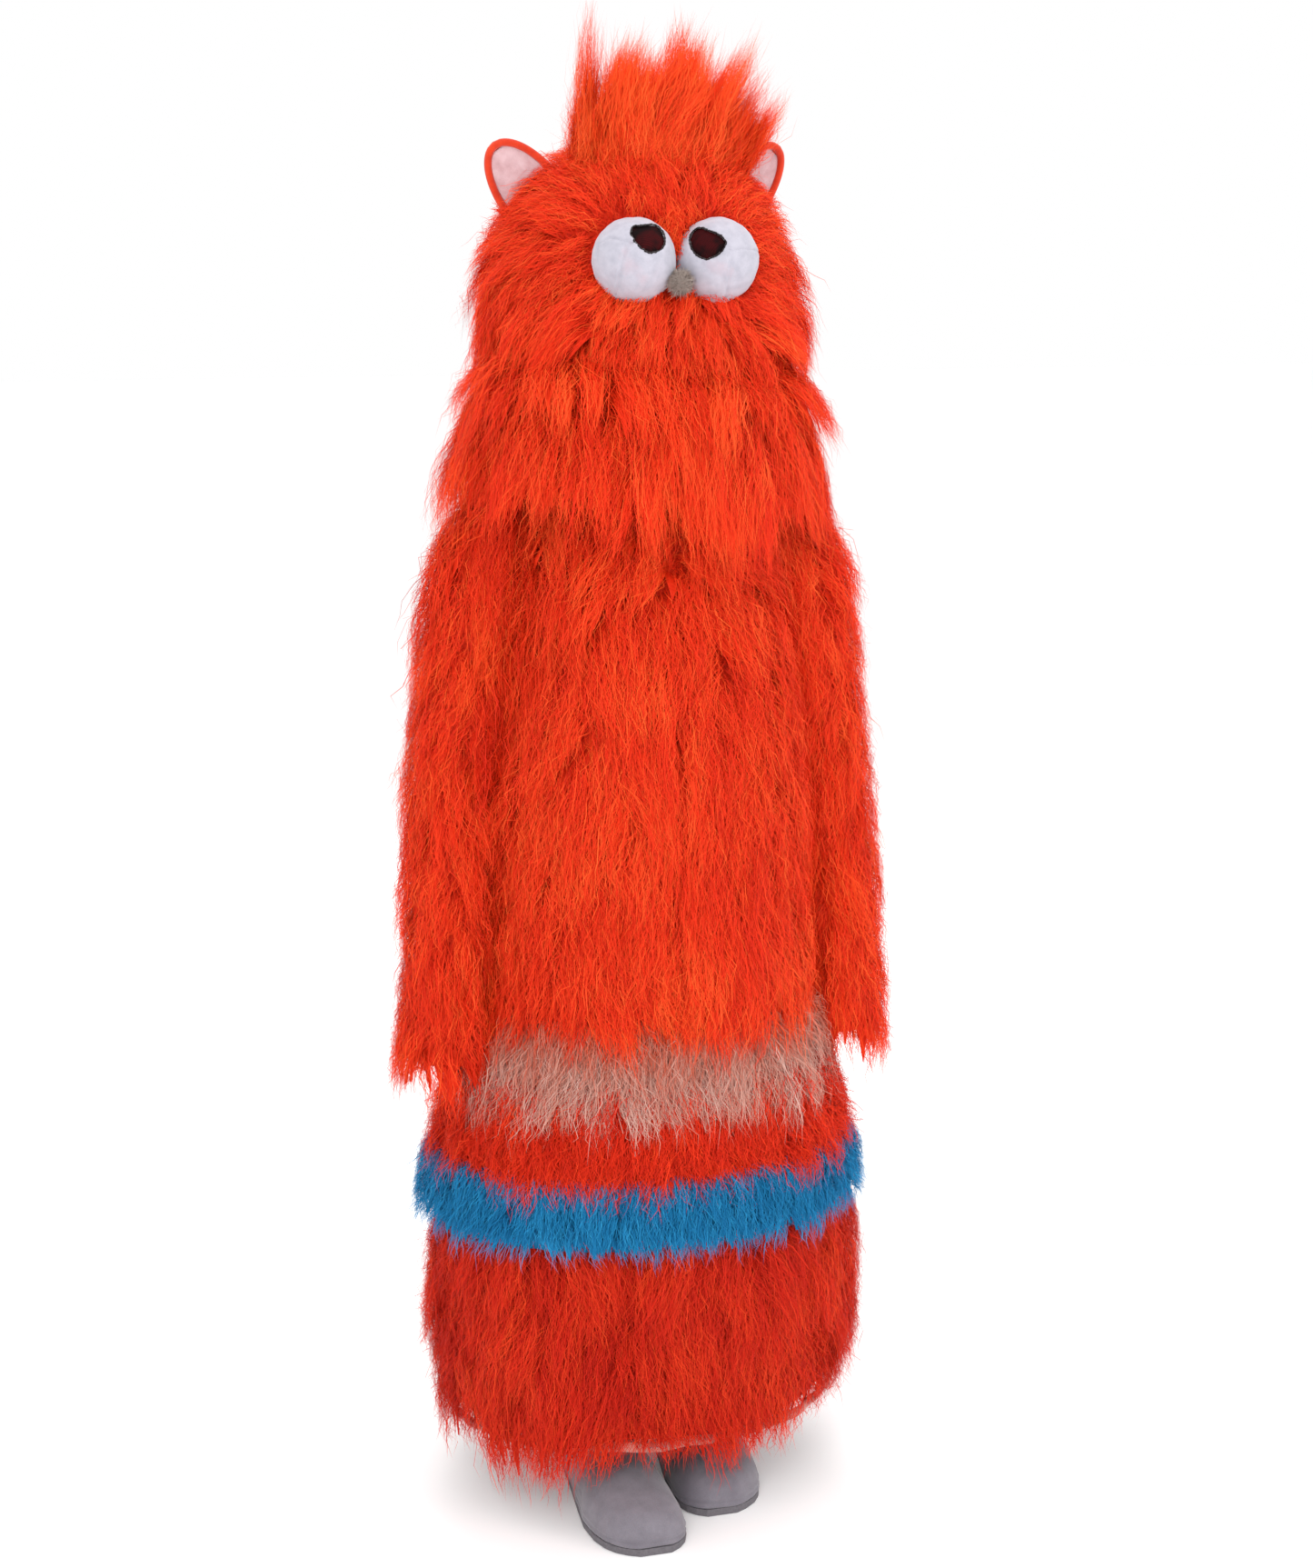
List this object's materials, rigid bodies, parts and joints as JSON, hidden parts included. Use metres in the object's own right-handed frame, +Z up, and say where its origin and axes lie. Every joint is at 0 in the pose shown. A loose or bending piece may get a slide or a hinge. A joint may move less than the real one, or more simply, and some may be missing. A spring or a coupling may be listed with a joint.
{
  "type": "walkaround puppet suit",
  "caption": "Full-body furry creature puppet worn by a performer, with turning and nodding head, hinged jaw, jointed sleeves and legs, and a back zipper.",
  "frame": {"origin": "on the floor, at the bottom centre of the bounding box, between the soles", "axes": "+Z up, the creature faces -Y, its right side is -X"},
  "size_m": [0.628, 0.469, 1.824],
  "materials": {
    "orange_fur": "long pile faux fur, fluffy locks, darker red at the roots",
    "skirt_fur": "long pile faux fur, deeper red orange",
    "beige_fur": "long pile faux fur",
    "blue_fur": "long pile faux fur",
    "white_fleece": "short nap fleece, sewn in panels",
    "pupil_mesh": "open see-through mesh",
    "grey_felt": "needle felt",
    "shoe_suede": "brushed suede-like cloth",
    "sole_rubber": "thin moulded sole",
    "webbing": "woven webbing and padded cloth",
    "foam_shell": "dense foam, lined",
    "boning": "flat sprung boning",
    "black_plastic": "moulded",
    "mouth_cloth": "dark lining cloth over board",
    "zip_metal": "satin",
    "steel": "satin",
    "elastic": "covered elastic cord",
    "binding": "stitched hem tape"
  },
  "bodies": {
    "robe": {"tunic_front_panel": "orange_fur", "tunic_back_left_panel": "orange_fur", "tunic_back_right_panel": "orange_fur", "beige_fur_band": "beige_fur", "tunic_hem_band": "orange_fur", "blue_fur_band": "blue_fur", "skirt_front_panel": "skirt_fur", "skirt_back_panel": "skirt_fur", "hem_binding": "binding", "zipper_chain": "zip_metal", "hoop_chest": "boning", "hoop_waist": "boning", "hoop_band": "boning", "hoop_hem": "boning", "hoop_tapes": "webbing", "harness_pads": "webbing", "harness_straps": "webbing", "waist_belt": "webbing", "belt_buckle": "black_plastic", "trouser_seat": "shoe_suede"},
    "zip_slider": {"zipper_slider": "zip_metal"},
    "zip_pull": {"zipper_pull": "zip_metal"},
    "mane": {"mane_cape": "orange_fur", "mane_collar": "webbing", "neck_gaiter": "webbing"},
    "head": {"head_shell": "foam_shell", "head_fur": "orange_fur", "forehead_tuft": "orange_fur", "eye_dome_left": "white_fleece", "eye_dome_right": "white_fleece", "pupil_mesh_left": "pupil_mesh", "pupil_mesh_right": "pupil_mesh", "nose_ball": "grey_felt", "ear_left": "orange_fur", "ear_right": "orange_fur", "ear_lining_left": "white_fleece", "ear_lining_right": "white_fleece", "headband": "black_plastic", "crown_straps": "black_plastic", "foam_spacers": "foam_shell", "upper_mouth_plate": "mouth_cloth", "jaw_hinge_brackets": "steel", "jaw_hinge_pins": "steel", "jaw_elastics": "elastic"},
    "jaw": {"jaw_plate": "mouth_cloth", "jaw_shell": "foam_shell", "jaw_fur": "orange_fur", "chin_cup": "webbing"},
    "shoulder_left": {"shoulder_pad_left": "foam_shell"},
    "upper_arm_left": {"upper_sleeve_left": "orange_fur"},
    "forearm_left": {"lower_sleeve_left": "orange_fur"},
    "leg_left": {"leg_cover_left": "shoe_suede"},
    "shoe_left": {"shoe_upper_left": "shoe_suede", "shoe_sole_left": "sole_rubber"},
    "shoulder_right": {"shoulder_pad_right": "foam_shell"},
    "upper_arm_right": {"upper_sleeve_right": "orange_fur"},
    "forearm_right": {"lower_sleeve_right": "orange_fur"},
    "leg_right": {"leg_cover_right": "shoe_suede"},
    "shoe_right": {"shoe_upper_right": "shoe_suede", "shoe_sole_right": "sole_rubber"}
  },
  "joints": [
    {"name": "zipper_slide", "type": "slide", "parent": "robe", "child": "zip_slider", "axis": [0, -0.0499, 0.9988], "range_m": [-0.52, 0]},
    {"name": "zipper_pull_swing", "type": "hinge", "parent": "zip_slider", "child": "zip_pull", "pos_m": [0, 0.15849, 1.24626], "axis": [1, 0, 0], "range_deg": [0, 120]},
    {"name": "head_turn", "type": "hinge", "parent": "robe", "child": "mane", "pos_m": [0, 0.0285, 1.336], "axis": [0, 0, 1], "range_deg": [-60, 60]},
    {"name": "head_nod", "type": "hinge", "parent": "mane", "child": "head", "pos_m": [0, 0.0285, 1.47], "axis": [1, 0, 0], "range_deg": [-18, 18]},
    {"name": "jaw_open", "type": "hinge", "parent": "head", "child": "jaw", "pos_m": [0, 0.0225, 1.489], "axis": [1, 0, 0], "range_deg": [0, 22], "stiffness_Nm_per_rad": 1.2, "springref_deg": -28.65, "deforming": ["jaw_elastics"]},
    {"name": "shoulder_swing_left", "type": "hinge", "parent": "robe", "child": "shoulder_left", "pos_m": [0.217, 0.0285, 1.215], "axis": [-1, 0, 0], "range_deg": [-30, 85]},
    {"name": "arm_raise_left", "type": "hinge", "parent": "shoulder_left", "child": "upper_arm_left", "pos_m": [0.217, 0.0285, 1.215], "axis": [0, -1, 0], "range_deg": [0, 80]},
    {"name": "elbow_bend_left", "type": "hinge", "parent": "upper_arm_left", "child": "forearm_left", "pos_m": [0.252, 0.0185, 0.93], "axis": [-1, 0, 0], "range_deg": [0, 95]},
    {"name": "hip_swing_left", "type": "hinge", "parent": "robe", "child": "leg_left", "pos_m": [0.075, 0.0205, 0.85], "axis": [-1, 0, 0], "range_deg": [-5.5, 9.5]},
    {"name": "ankle_left", "type": "hinge", "parent": "leg_left", "child": "shoe_left", "pos_m": [0.068, 0.0545, 0.095], "axis": [-1, 0, 0], "range_deg": [-15, 6]},
    {"name": "shoulder_swing_right", "type": "hinge", "parent": "robe", "child": "shoulder_right", "pos_m": [-0.217, 0.0285, 1.215], "axis": [-1, 0, 0], "range_deg": [-30, 85]},
    {"name": "arm_raise_right", "type": "hinge", "parent": "shoulder_right", "child": "upper_arm_right", "pos_m": [-0.217, 0.0285, 1.215], "axis": [0, 1, 0], "range_deg": [0, 80]},
    {"name": "elbow_bend_right", "type": "hinge", "parent": "upper_arm_right", "child": "forearm_right", "pos_m": [-0.252, 0.0185, 0.93], "axis": [-1, 0, 0], "range_deg": [0, 95]},
    {"name": "hip_swing_right", "type": "hinge", "parent": "robe", "child": "leg_right", "pos_m": [-0.075, 0.0205, 0.85], "axis": [-1, 0, 0], "range_deg": [-10.5, 4]},
    {"name": "ankle_right", "type": "hinge", "parent": "leg_right", "child": "shoe_right", "pos_m": [-0.068, -0.0195, 0.095], "axis": [-1, 0, 0], "range_deg": [-15, 6]}
  ]
}
